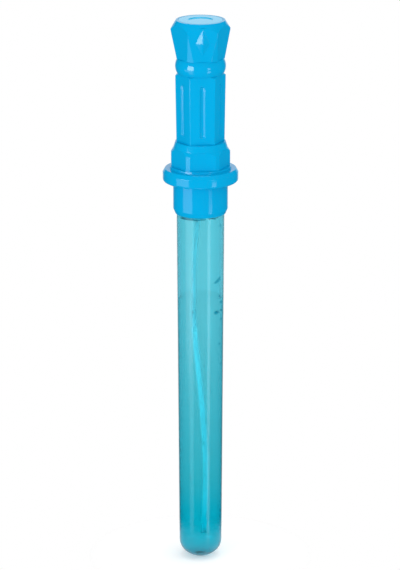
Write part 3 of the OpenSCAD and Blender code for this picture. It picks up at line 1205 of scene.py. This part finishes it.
@dataclass
class Cap:
    """Screw cap: threaded skirt, flange, six flats, and the collar that holds the grip.

    ring_gap keeps the top ring of the flats apart from the foot of the collar until both are shaped.
    """

    thread: Thread
    bore: float = 16.15 * MM
    ceiling: float = 255.5 * MM
    skirt_radius: float = 17.7 * MM
    skirt_slope_height: float = 3 * MM
    skirt_slope_in: float = 1.2 * MM
    flange: float = 257.3 * MM
    flange_height: float = 8.7 * MM
    flange_slope: float = 2.4 * MM
    flange_slope_in: float = 1.4 * MM
    flange_round: float = 2 * MM
    base_radius: float = 19.8 * MM
    base_height: float = 1.6 * MM
    nut_middle: float = 17.15 * MM
    nut_round: float = 19.05 * MM
    nut_height: float = 11.2 * MM
    nut_slope_height: float = 2.6 * MM
    ring_gap: float = 0.1 * MM
    collar_base: float = 17.49 * MM
    collar_top: float = 16.24 * MM
    socket_radius: float = 12.7 * MM
    web: float = 2.2 * MM
    boss_radius: float = 6.8 * MM
    pivot_radius: float = 3.75 * MM
    chamber_radius: float = 4.6 * MM
    chamber_height: float = 4.2 * MM
    lip: float = 1.9 * MM
    edge_round: float = 0.3 * MM
    smooth_deg: float = 20
    thread_rows: int = 44
    room: Room = field(default_factory=lambda: Room.of("screw_cap"))

    @property
    def nut(self) -> float:
        """Height of the foot of the six flats."""
        return self.flange + self.flange_height

    @property
    def nut_top(self) -> float:
        """Height at which the slope above the flats starts at their corners."""
        return self.nut + self.nut_height

    @property
    def nut_end(self) -> float:
        """Height of the top of the slope."""
        return self.nut_top + self.nut_slope_height

    def outline(self) -> list[Corner]:
        """Half section from the pivot's chamber, down the bore, up the outside and into the socket.

        Returns:
            The section's corners.
        """
        low, top, soft = self.room.low.z, self.room.high.z, self.edge_round
        lip_up = self.ceiling + self.lip
        chamber_up = lip_up + self.chamber_height
        rows = self.thread.rows(Thread.root_width / 2, self.thread_rows)
        return [
            Corner(0, chamber_up),
            Corner(self.chamber_radius, chamber_up, soft),
            Corner(self.chamber_radius, lip_up, soft),
            Corner(self.pivot_radius, lip_up, soft),
            Corner(self.pivot_radius, self.ceiling, soft),
            Corner(self.bore, self.ceiling, soft),
            *[Corner(self.bore, row) for row in reversed(rows)],
            Corner(self.bore, low, soft / 2),
            Corner(self.skirt_radius - self.skirt_slope_in, low, soft / 2),
            Corner(self.skirt_radius, low + self.skirt_slope_height, 4 * soft),
            Corner(self.skirt_radius, self.flange, 2 * soft),
            Corner(self.room.high.x, self.flange, self.flange_round),
            Corner(self.room.high.x, self.nut - self.flange_slope, 2 * soft),
            Corner(self.room.high.x - self.flange_slope_in, self.nut, 2 * soft),
            Corner(self.base_radius, self.nut, soft),
            Corner(self.base_radius, self.nut + self.base_height, soft),
            *self.nut_rings(),
            Corner(self.collar_base, self.nut_end),
            Corner(self.collar_top, top, soft),
            Corner(self.socket_radius, top, soft),
            Corner(self.socket_radius, self.ceiling + self.web, soft),
            Corner(self.boss_radius, self.ceiling + self.web, soft),
            Corner(self.boss_radius, chamber_up + self.web, soft),
            Corner(0, chamber_up + self.web),
        ]

    def nut_rings(self) -> list[Corner]:
        """The three rings of the six-sided stretch, while they are still round.

        Returns:
            The foot, the start of the slope and the top.
        """
        return [
            Corner(self.nut_round, self.nut + self.base_height),
            Corner(self.nut_round, self.nut_top),
            Corner(self.collar_base - self.ring_gap, self.nut_end - self.ring_gap),
        ]

    def shape_flats(self, bm: Mesh) -> None:
        """Moves the three rings of the six-sided stretch onto the flats and their blunted corners.

        The two vertices beside each corner go to the ends of its blunted stretch.

        Args:
            bm: the mesh that holds the rings.
        """
        blunt = SIDE_TURN / 2 - math.acos(self.nut_middle / self.nut_round)
        pitch = FULL_TURN / TURN_STEPS
        slope = (self.nut_round - self.collar_base) / self.nut_slope_height
        rings = self.nut_rings()
        _, slope_foot, slope_top = rings
        for ring in rings:
            for vert in at_radius(bm, ring.across):
                if abs(vert.co.z - ring.up) > MERGE_DISTANCE:
                    continue
                angle = math.atan2(vert.co.y, vert.co.x)
                from_corner = (angle - HANDLE_TURN + SIDE_TURN / 2) % SIDE_TURN - SIDE_TURN / 2
                if pitch / 2 < abs(from_corner) < pitch * 3 / 2:
                    angle += math.copysign(blunt, from_corner) - from_corner
                out = min(six_sided(angle, self.nut_middle), self.nut_round)
                up = vert.co.z
                if ring is slope_foot:
                    up = min(self.nut_top + (self.nut_round - out) / slope, self.nut_end - self.ring_gap)
                if ring is slope_top:
                    out = min(out, self.collar_base)
                vert.co = heading(angle) * out + AXIS * up

    def build(self, finish: MouldedPlastic) -> None:
        """Models the cap and dresses it.

        Args:
            finish: its plastic.
        """
        bm = bmesh.new()
        turned(bm, self.outline(), turn=HANDLE_TURN)
        self.thread.raise_on(at_radius(bm, self.bore), -1)
        self.shape_flats(bm)
        settle(bm)
        fitting = Fitting("cap", Body.HANDLE, Slot.HANDLE, ("screw_cap",))
        add_piece(bm, fitting, finish.build(), self.smooth_deg)


@dataclass
class Grip:
    """Six-sided fluted grip with a bulge ring between two grooves."""

    bore: float = 11.3 * MM
    wall: float = 2.2 * MM
    flare: float = 0.7 * MM
    shaft_height: float = 43 * MM
    slope_height: float = 1.6 * MM
    slope_radius: float = 14.85 * MM
    groove_radius: float = 15 * MM
    bulge_rise: float = 1.3 * MM
    bulge_height: float = 9.6 * MM
    bulge_steps: int = 20
    spigot_radius: float = 12.6 * MM
    spigot_height: float = 14 * MM
    flute_radius: float = 2 * MM
    flute_depth: float = 0.9 * MM
    flute_end: float = 4 * MM
    flute_steps: int = 6
    flute_rim_steps: int = 24
    flute_floor_deg: float = 3
    crease_deg: float = 25
    edge_round: float = 0.3 * MM
    smooth_deg: float = 20
    room: Room = field(default_factory=lambda: Room.of("grip"))

    @property
    def foot(self) -> float:
        """Height of the foot of the shaft."""
        return self.room.low.z + self.spigot_height

    @property
    def bulge(self) -> float:
        """Height of the foot of the bulge ring."""
        return self.foot + self.shaft_height + self.slope_height

    @property
    def corner_radius(self) -> float:
        """Radius of the shaft's corners at its foot."""
        return (self.bore + self.wall) / SIDE_COS

    def shaft(self, bm: Mesh) -> list[Face]:
        """Models the plain shaft, with its corners sloped off at the top and its ends open.

        Args:
            bm: the mesh that gets the shaft.

        Returns:
            The six flats.
        """
        high_radius = self.corner_radius + self.flare
        six_sided_cone(bm, self.foot, self.bulge - self.foot, (self.corner_radius, high_radius))
        along = math.acos(high_radius * SIDE_COS / self.slope_radius)
        for k in range(SIDES):
            corner = HANDLE_TURN + SIDE_TURN * k
            tips = [corner + SIDE_TURN / 2 * s - along * s for s in (-1, 1)]
            left, right = (heading(a) * self.slope_radius + AXIS * self.bulge for a in tips)
            foot = heading(corner) * high_radius + AXIS * (self.foot + self.shaft_height)
            normal = (right - left).cross(foot - left).normalized()
            if normal.z < 0:
                normal.negate()
            cut(bm, foot, normal, clear=True)
            bmesh.ops.holes_fill(bm, edges=[e for e in bm.edges if e.is_boundary], sides=0)
        bmesh.ops.recalc_face_normals(bm, faces=bm.faces)
        open_ends(bm)
        return [f for f in bm.faces if abs(f.normal.z) < UPRIGHT_FACE]

    def flute_rim(self, bm: Mesh, on_flat: Vector, normal: Vector, half_width: float) -> Face:
        """Draws a long round-ended face in the middle of a flat.

        Args:
            bm: the mesh that gets the face.
            on_flat: a point of the flat.
            normal: the way that the flat points.
            half_width: half of the face's width.

        Returns:
            The face, which points the way that the flat does.
        """
        middle = Vector((normal.x, normal.y, 0)).normalized()
        side = AXIS.cross(middle)
        low = self.foot + self.flute_end + self.flute_radius
        high = self.foot + self.shaft_height - self.flute_end - self.flute_radius
        centre = AXIS * low
        centre += middle * ((on_flat - centre).dot(normal) / middle.dot(normal))
        lie_flat = Matrix((side, normal.cross(side), normal)).transposed().to_4x4()
        half_step = Matrix.Rotation(math.pi / self.flute_rim_steps, 4, "Z")
        ring = bmesh.ops.create_circle(
            bm, cap_ends=True, segments=self.flute_rim_steps, radius=half_width, matrix=half_step
        )["verts"]
        upper = [v for v in ring if v.co.y > 0]
        bmesh.ops.translate(bm, verts=upper, vec=(0, high - low, 0))
        bmesh.ops.transform(bm, verts=ring, matrix=Matrix.Translation(centre) @ lie_flat)
        face = ring[0].link_faces[0]
        face.normal_update()
        if face.normal.dot(normal) < 0:
            bmesh.ops.reverse_faces(bm, faces=[face])
        return face

    def flute(self, bm: Mesh, flat: Face) -> None:
        """Sinks one flute with round ends into a flat.

        Args:
            bm: the mesh.
            flat: the flat, which gives way to the flute and the area round it.
        """
        normal = flat.normal.copy()
        on_flat = flat.verts[0].co.copy()
        outer = list(flat.edges)
        bmesh.ops.delete(bm, geom=[flat], context="FACES_ONLY")
        start_angle = math.acos((self.flute_radius - self.flute_depth) / self.flute_radius)
        floor = self.flute_rim(bm, on_flat, normal, self.flute_radius * math.sin(start_angle))
        fill_between(bm, outer + list(floor.edges), normal)
        angles = [start_angle * (1 - k / self.flute_steps) for k in range(self.flute_steps)]
        angles.append(math.radians(self.flute_floor_deg))
        for a, b in zip(angles, angles[1:]):
            bmesh.ops.inset_individual(
                bm,
                faces=[floor],
                thickness=self.flute_radius * (math.sin(a) - math.sin(b)),
                depth=-self.flute_radius * (math.cos(b) - math.cos(a)),
                use_even_offset=True,
            )

    def core(self) -> list[Corner]:
        """Half section of the round parts: bulge ring, bore and spigot.

        Returns:
            The section's corners.
        """
        radius = ((self.bulge_height / 2) ** 2 + self.bulge_rise**2) / (2 * self.bulge_rise)
        top, low, soft = self.bulge + self.bulge_height, self.room.low.z, self.edge_round
        ring = []
        for k in range(self.bulge_steps + 1):
            up = self.bulge_height * (k / self.bulge_steps - 0.5)
            out = self.groove_radius + self.bulge_rise - radius + math.sqrt(radius**2 - up**2)
            ring.append(Corner(out, self.bulge + self.bulge_height / 2 + up))
        return [
            *ring,
            Corner(self.bore, top, soft),
            Corner(self.bore, low, soft),
            Corner(self.spigot_radius, low, soft),
            Corner(self.spigot_radius, self.foot),
        ]

    def build(self, finish: MouldedPlastic) -> None:
        """Models the grip and dresses it.

        Args:
            finish: its plastic.
        """
        bm = bmesh.new()
        for flat in self.shaft(bm):
            self.flute(bm, flat)
        settle(bm)
        soften(bm, self.crease_deg, self.edge_round, segments=3)
        turned(bm, self.core(), turn=HANDLE_TURN)
        bmesh.ops.remove_doubles(bm, verts=bm.verts, dist=MERGE_DISTANCE)
        for height in (self.foot, self.bulge):
            fill_level(bm, height, AXIS)
        settle(bm)
        fitting = Fitting("fluted_grip", Body.HANDLE, Slot.HANDLE, ("grip",))
        add_piece(bm, fitting, finish.build(), self.smooth_deg)


@dataclass
class Pommel:
    """Faceted head of the handle, with a raised kite on its front and back and a recess for the plug."""

    body_height: float = 19.2 * MM
    waist_radius: float = 15.35 * MM
    waist_flat: float = 14.45 * MM
    corner_radius: float = 19.25 * MM
    crown_radius: float = 15.8 * MM
    crown_height: float = 5.6 * MM
    crown_steps: int = 48
    facet_drop: float = 0.6 * MM
    recess_radius: float = 14.4 * MM
    recess_depth: float = 1.8 * MM
    spigot_radius: float = 11.2 * MM
    bore: float = 9.9 * MM
    stud_half_width: float = 4.6 * MM
    stud_top: float = 3.1 * MM
    stud_rise: float = 9.8 * MM
    stud_drop: float = 8.6 * MM
    stud_proud: float = 2 * MM
    crease_deg: float = 8
    edge_round: float = 0.25 * MM
    smooth_deg: float = 16
    room: Room = field(default_factory=lambda: Room.of("pommel"))

    @property
    def widest(self) -> float:
        """Height of the widest place."""
        return self.room.high.z - self.crown_height

    @property
    def waist(self) -> float:
        """Height of the lower end."""
        return self.widest - self.body_height

    @property
    def flare(self) -> float:
        """How far each flat leans out for its height."""
        return (self.corner_radius * SIDE_COS - self.waist_flat) / self.body_height

    def flat_out(self, rise: float) -> float:
        """Distance from the axis to the middle of a flat, at a height above the lower end."""
        return self.waist_flat + self.flare * rise

    def cut_off(self, bm: Mesh, point: Vector, normal: Vector) -> None:
        """Cuts away what is outside a plane, and closes the cut."""
        bmesh.ops.contextual_create(bm, geom=cut(bm, point, normal, clear=True))

    def skin(self, bm: Mesh) -> list[Face]:
        """Models the flaring body with a facet on each corner, under a turned slope.

        Args:
            bm: the mesh that gets the body, with its two ends open.

        Returns:
            The flats on the front and the back.
        """
        top = self.room.high.z
        height = top - self.waist
        corners = (self.flat_out(0) / SIDE_COS, self.flat_out(height) / SIDE_COS)
        six_sided_cone(bm, self.waist, height, corners)
        facet_rise = self.body_height - self.facet_drop
        facet_lean = (self.flat_out(facet_rise) / SIDE_COS - self.waist_radius) / facet_rise
        for k in range(SIDES):
            out = heading(HANDLE_TURN + SIDE_TURN * k)
            self.cut_off(bm, out * self.waist_radius + AXIS * self.waist, out - AXIS * facet_lean)
        lean = (self.corner_radius - self.crown_radius) / self.crown_height
        step = FULL_TURN / self.crown_steps
        middle = self.crown_radius * math.cos(step / 2)
        for k in range(self.crown_steps):
            out = heading(HANDLE_TURN + step * (k + 0.5))
            self.cut_off(bm, out * middle + AXIS * top, out + AXIS * (lean * math.cos(step / 2)))
        settle(bm)
        open_ends(bm)
        front = heading(HANDLE_TURN - FULL_TURN / 4)
        return [f for f in bm.faces if f.normal.z < 0 and abs(f.normal.dot(front)) > FACING]

    def stud(self, bm: Mesh, flat: Face) -> None:
        """Raises a kite with four faces out of a flat.

        Args:
            bm: the mesh.
            flat: the flat, which gives way to the kite and the area round it.
        """
        normal = flat.normal.copy()
        middle = Vector((normal.x, normal.y, 0)).normalized()
        side = AXIS.cross(middle)

        def place(across: float, height: float, out: float = 0.0) -> Vert:
            """Puts a vertex on the flat, or out of it."""
            reach = self.flat_out(height - self.waist) + out
            return bm.verts.new(middle * reach + side * across + AXIS * height)

        tip = self.widest + self.stud_top
        wide = tip - self.stud_rise
        kite = [
            place(0, tip),
            place(-self.stud_half_width, wide),
            place(0, wide - self.stud_drop),
            place(self.stud_half_width, wide),
        ]
        peak = place(0, wide, self.stud_proud)
        outer = list(flat.edges)
        bmesh.ops.delete(bm, geom=[flat], context="FACES_ONLY")
        rim = [bm.edges.new(pair) for pair in ring_pairs(kite)]
        fill_between(bm, outer + rim, normal)
        for pair in ring_pairs(kite):
            bm.faces.new((*pair, peak))

    def inside(self) -> list[Corner]:
        """Half section of the recess, the bore and the spigot.

        Returns:
            The section's corners.
        """
        top, low, soft = self.room.high.z, self.room.low.z, self.edge_round
        return [
            Corner(self.recess_radius, top),
            Corner(self.recess_radius, top - self.recess_depth, soft),
            Corner(self.bore, top - self.recess_depth, soft),
            Corner(self.bore, low, soft),
            Corner(self.spigot_radius, low, soft),
            Corner(self.spigot_radius, self.waist),
        ]

    def build(self, finish: MouldedPlastic) -> None:
        """Models the pommel and dresses it.

        Args:
            finish: its plastic.
        """
        bm = bmesh.new()
        for flat in self.skin(bm):
            self.stud(bm, flat)
        settle(bm)
        soften(bm, self.crease_deg, self.edge_round, segments=2)
        turned(bm, self.inside(), turn=HANDLE_TURN, steps=self.crown_steps)
        bmesh.ops.remove_doubles(bm, verts=bm.verts, dist=MERGE_DISTANCE)
        for height in (self.waist, self.room.high.z):
            fill_level(bm, height, AXIS)
        settle(bm)
        fitting = Fitting("faceted_pommel", Body.HANDLE, Slot.HANDLE, ("pommel",))
        add_piece(bm, fitting, finish.build(), self.smooth_deg)


@dataclass
class EndPlug:
    """Round plug in the top of the pommel, with a shallow dish."""

    disc: float = 1.8 * MM
    ring_radius: float = 9.8 * MM
    ring_wall: float = 1.3 * MM
    dish_radius: float = 8 * MM
    dish_depth: float = 0.5 * MM
    edge_round: float = 0.35 * MM
    room: Room = field(default_factory=lambda: Room.of("end_plug"))

    def build(self, finish: MouldedPlastic) -> None:
        """Models the plug and dresses it.

        Args:
            finish: its plastic.
        """
        top, low, radius = self.room.high.z, self.room.low.z, self.room.high.x
        soft = self.edge_round
        outline = [
            Corner(0, top - self.dish_depth),
            Corner(self.dish_radius - self.dish_depth, top - self.dish_depth, soft),
            Corner(self.dish_radius, top, soft),
            Corner(radius, top, soft),
            Corner(radius, top - self.disc, soft / 2),
            Corner(self.ring_radius, top - self.disc, soft / 2),
            Corner(self.ring_radius, low, soft),
            Corner(self.ring_radius - self.ring_wall, low, soft),
            Corner(self.ring_radius - self.ring_wall, top - self.disc, soft),
            Corner(0, top - self.disc),
        ]
        bm = bmesh.new()
        turned(bm, outline)
        settle(bm)
        add_piece(bm, Fitting("top_plug", Body.HANDLE, Slot.PLUG, ("end_plug",)), finish.build())


def stand_facing(
    holder: bpy.types.Object, target: Vector, azimuth_deg: float, elevation_deg: float, distance: float
) -> None:
    """Puts a lamp or the camera in the scene, facing a target.

    Args:
        holder: the lamp or the camera.
        target: the point that it faces.
        azimuth_deg: how far it stands to the right of the camera's side.
        elevation_deg: how far it stands above level.
        distance: its distance from the target.
    """
    azimuth, elevation = math.radians(azimuth_deg), math.radians(elevation_deg)
    level = math.cos(elevation)
    away = Vector((math.sin(azimuth) * level, -math.cos(azimuth) * level, math.sin(elevation)))
    holder.location = target + away * distance
    holder.rotation_euler = away.to_track_quat("Z", "Y").to_euler()
    bpy.context.scene.collection.objects.link(holder)


@dataclass(frozen=True)
class Softbox:
    """A flat studio lamp that faces the part."""

    name: str
    azimuth_deg: float
    elevation_deg: float
    width: float
    height: float
    radiance: float
    distance: float = 1.6

    def build(self, target: Vector) -> None:
        """Hangs the lamp.

        Args:
            target: the point that it faces.
        """
        lamp = bpy.data.lights.new(self.name, "AREA")
        lamp.shape = "RECTANGLE"
        lamp.size, lamp.size_y = self.width, self.height
        lamp.energy = self.radiance * math.pi * self.width * self.height
        holder = bpy.data.objects.new(self.name, lamp)
        stand_facing(holder, target, self.azimuth_deg, self.elevation_deg, self.distance)


@dataclass(frozen=True)
class Studio:
    """Pale floor, white surroundings, softboxes and the camera at the photograph's angle.

    ambient is the plain level from the left and from the right. inside_level is the level that reaches what
    is inside the tube, where the softboxes don't. room_level is the dark room on the camera's side, and
    room_edge says how far behind the part it turns to white.
    """

    target: Vector = Vector((0, 0, 0.18707))
    camera_distance: float = 2.0
    camera_elevation_deg: float = 16.6
    lens: float = 194.1
    sensor: float = 36.0
    shift_right: float = -0.0009
    clip_end: float = 100
    ambient: Span = (0.5, 1.2)
    inside_level: float = 3.4
    room_level: float = 0.02
    room_edge: Span = (0.8, 0.98)
    floor_radius: float = 0.075
    floor_fade: float = 0.03
    floor_gap: float = 0.3 * MM
    floor_glow: float = 0.3
    floor_colour: Colour = (0.86, 0.86, 0.86, 1)
    lamps: tuple[Softbox, ...] = (
        Softbox("left_softbox", -46, 4.5, 0.8, 0.82, 5.6),
        Softbox("low_left_softbox", -57, -14.3, 1.2, 0.35, 1.0),
        Softbox("right_softbox", 37, 1.5, 0.35, 0.42, 2.2),
        Softbox("low_right_softbox", 42, -22, 0.4, 0.5, 1.6),
        Softbox("under_left_softbox", -48, -28, 0.6, 0.7, 0.7),
        Softbox("top_softbox", 0, 80, 0.9, 0.9, 1.2),
    )

    def surroundings(self) -> None:
        """Makes the world white where it is seen, with a darker room on the camera's side of the part.

        Rays that light the part's own colour get a plain level from all round, more of it from the right.
        """
        world = bpy.data.worlds.new("studio")
        world.use_nodes = True
        graph = Graph(world.node_tree)
        path = graph.add("ShaderNodeLightPath")
        way = graph.coordinates("Generated")
        behind = graph.spread(graph.component(way, "Y"), self.room_edge, (self.room_level, 1.0))
        plain = graph.spread(graph.component(way, "X"), (-1.0, 1.0), self.ambient)
        mirrored = graph.spread(path.outputs["Is Diffuse Ray"], UNIT, (behind, plain))
        white = graph.spread(path.outputs["Diffuse Depth"], UNIT, (1.0, self.inside_level))
        seen = graph.larger(path.outputs["Is Camera Ray"], path.outputs["Is Transmission Ray"])
        background = graph.tree.nodes["Background"]
        background.inputs["Color"].default_value = (1, 1, 1, 1)
        graph.link(graph.spread(seen, UNIT, (mirrored, white)), background.inputs["Strength"])
        bpy.context.scene.world = world

    def floor_paper(self) -> bpy.types.Material:
        """Makes the floor's pale paper, which takes the part's shadow and fades out towards its edge.

        Returns:
            The material.
        """
        material = bpy.data.materials.new("floor_paper")
        material.use_nodes = True
        graph = Graph(material.node_tree)
        nodes = graph.tree.nodes
        nodes.remove(nodes["Principled BSDF"])
        paper = graph.add("ShaderNodeBsdfDiffuse")
        paper.inputs["Color"].default_value = self.floor_colour
        glow = graph.add("ShaderNodeEmission")
        path = graph.add("ShaderNodeLightPath")
        seen = graph.larger(path.outputs["Is Camera Ray"], path.outputs["Is Transmission Ray"])
        seen = graph.larger(seen, path.outputs["Is Glossy Ray"])
        graph.link(graph.spread(seen, UNIT, (0.0, self.floor_glow)), glow.inputs["Strength"])
        both = graph.add("ShaderNodeAddShader")
        graph.link(paper.outputs["BSDF"], both.inputs[0])
        graph.link(glow.outputs["Emission"], both.inputs[1])
        reach = graph.add("ShaderNodeVectorMath", operation="LENGTH")
        graph.link(graph.coordinates("Object"), reach.inputs[0])
        rim = (self.floor_fade, self.floor_radius)
        fade = graph.add("ShaderNodeMixShader")
        graph.link(graph.spread(reach.outputs["Value"], rim, UNIT), fade.inputs["Fac"])
        graph.link(both.outputs["Shader"], fade.inputs[1])
        graph.link(graph.add("ShaderNodeBsdfTransparent").outputs["BSDF"], fade.inputs[2])
        graph.link(fade.outputs["Shader"], nodes["Material Output"].inputs["Surface"])
        return material

    def floor(self) -> None:
        """Lays the floor, just under the part."""
        bm = bmesh.new()
        bmesh.ops.create_circle(
            bm,
            cap_ends=True,
            segments=TURN_STEPS,
            radius=self.floor_radius,
            matrix=Matrix.Translation(AXIS * -self.floor_gap),
        )
        mesh = bpy.data.meshes.new("floor")
        bm.to_mesh(mesh)
        bm.free()
        mesh.materials.append(self.floor_paper())
        floor = bpy.data.objects.new("floor", mesh)
        bpy.context.scene.collection.objects.link(floor)

    def camera(self) -> None:
        """Sets up the camera."""
        data = bpy.data.cameras.new("camera")
        data.lens = self.lens
        data.sensor_width = self.sensor
        data.shift_x = self.shift_right
        data.clip_end = self.clip_end
        camera = bpy.data.objects.new("camera", data)
        stand_facing(camera, self.target, 0, self.camera_elevation_deg, self.camera_distance)
        bpy.context.scene.camera = camera

    def build(self) -> None:
        """Builds the whole studio."""
        bpy.context.scene.view_settings.view_transform = "Standard"
        self.camera()
        self.surroundings()
        self.floor()
        for lamp in self.lamps:
            lamp.build(self.target)


HANDLE_BLUE = MouldedPlastic("handle_blue", colour=(0.0, 0.378, 0.712, 1), shade=(0.0, 0.362, 0.685, 1))
# Lighter than the handle's blue: partly the plug's own colour, partly painted light for the light that
# falls on its upward face.
PLUG_BLUE_AND_PAINTED_TOP_LIGHT = MouldedPlastic("plug_blue", colour=(0.04, 0.56, 0.9, 1), shade=(0.03, 0.54, 0.88, 1))
WAND_PLASTIC = MilkyPlastic("wand_plastic", loops=(0.6, 0.87, 0.9, 1), stem=(0.42, 0.58, 0.6, 1))
TUBE_PLASTIC = ClearPlastic(
    "clear_tube",
    tint=(0.56, 0.9, 0.93, 1),
    shade=(0.54, 0.89, 0.92, 1),
    depth_colour=(0.04, 0.715, 0.843, 1),
    depth_density=300.0,
)
# The drops' deeper teal is painted shade, for the bubbles' dark rims and the shadow line under the cap.
DROPS = DropsWithPaintedShade("drops", colour=(0.12, 0.68, 0.76, 1), shade=(0.06, 0.6, 0.69, 1))
SEAL_FOAM = Foam("seal_foam", colour=(0.88, 0.88, 0.84, 1), shade=(0.76, 0.76, 0.72, 1))


def main() -> None:
    """Builds the pieces round the frame, and the studio."""
    logging.basicConfig(level=logging.INFO, format="%(message)s")
    for item in list(bpy.data.objects):
        bpy.data.objects.remove(item)
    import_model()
    Studio().build()
    tube = Tube()
    tube.build(TUBE_PLASTIC)
    solution = Solution(tube)
    solution.build(ClearLiquid("solution", solution.room.high.z))
    Bubbles(tube).build(DROPS)
    Wand().build(WAND_PLASTIC)
    Seal().build(SEAL_FOAM)
    Cap(Thread(tube.thread.start - tube.thread.pitch / 2)).build(HANDLE_BLUE)
    Grip().build(HANDLE_BLUE)
    Pommel().build(HANDLE_BLUE)
    EndPlug().build(PLUG_BLUE_AND_PAINTED_TOP_LIGHT)


if __name__ == "__main__":
    main()
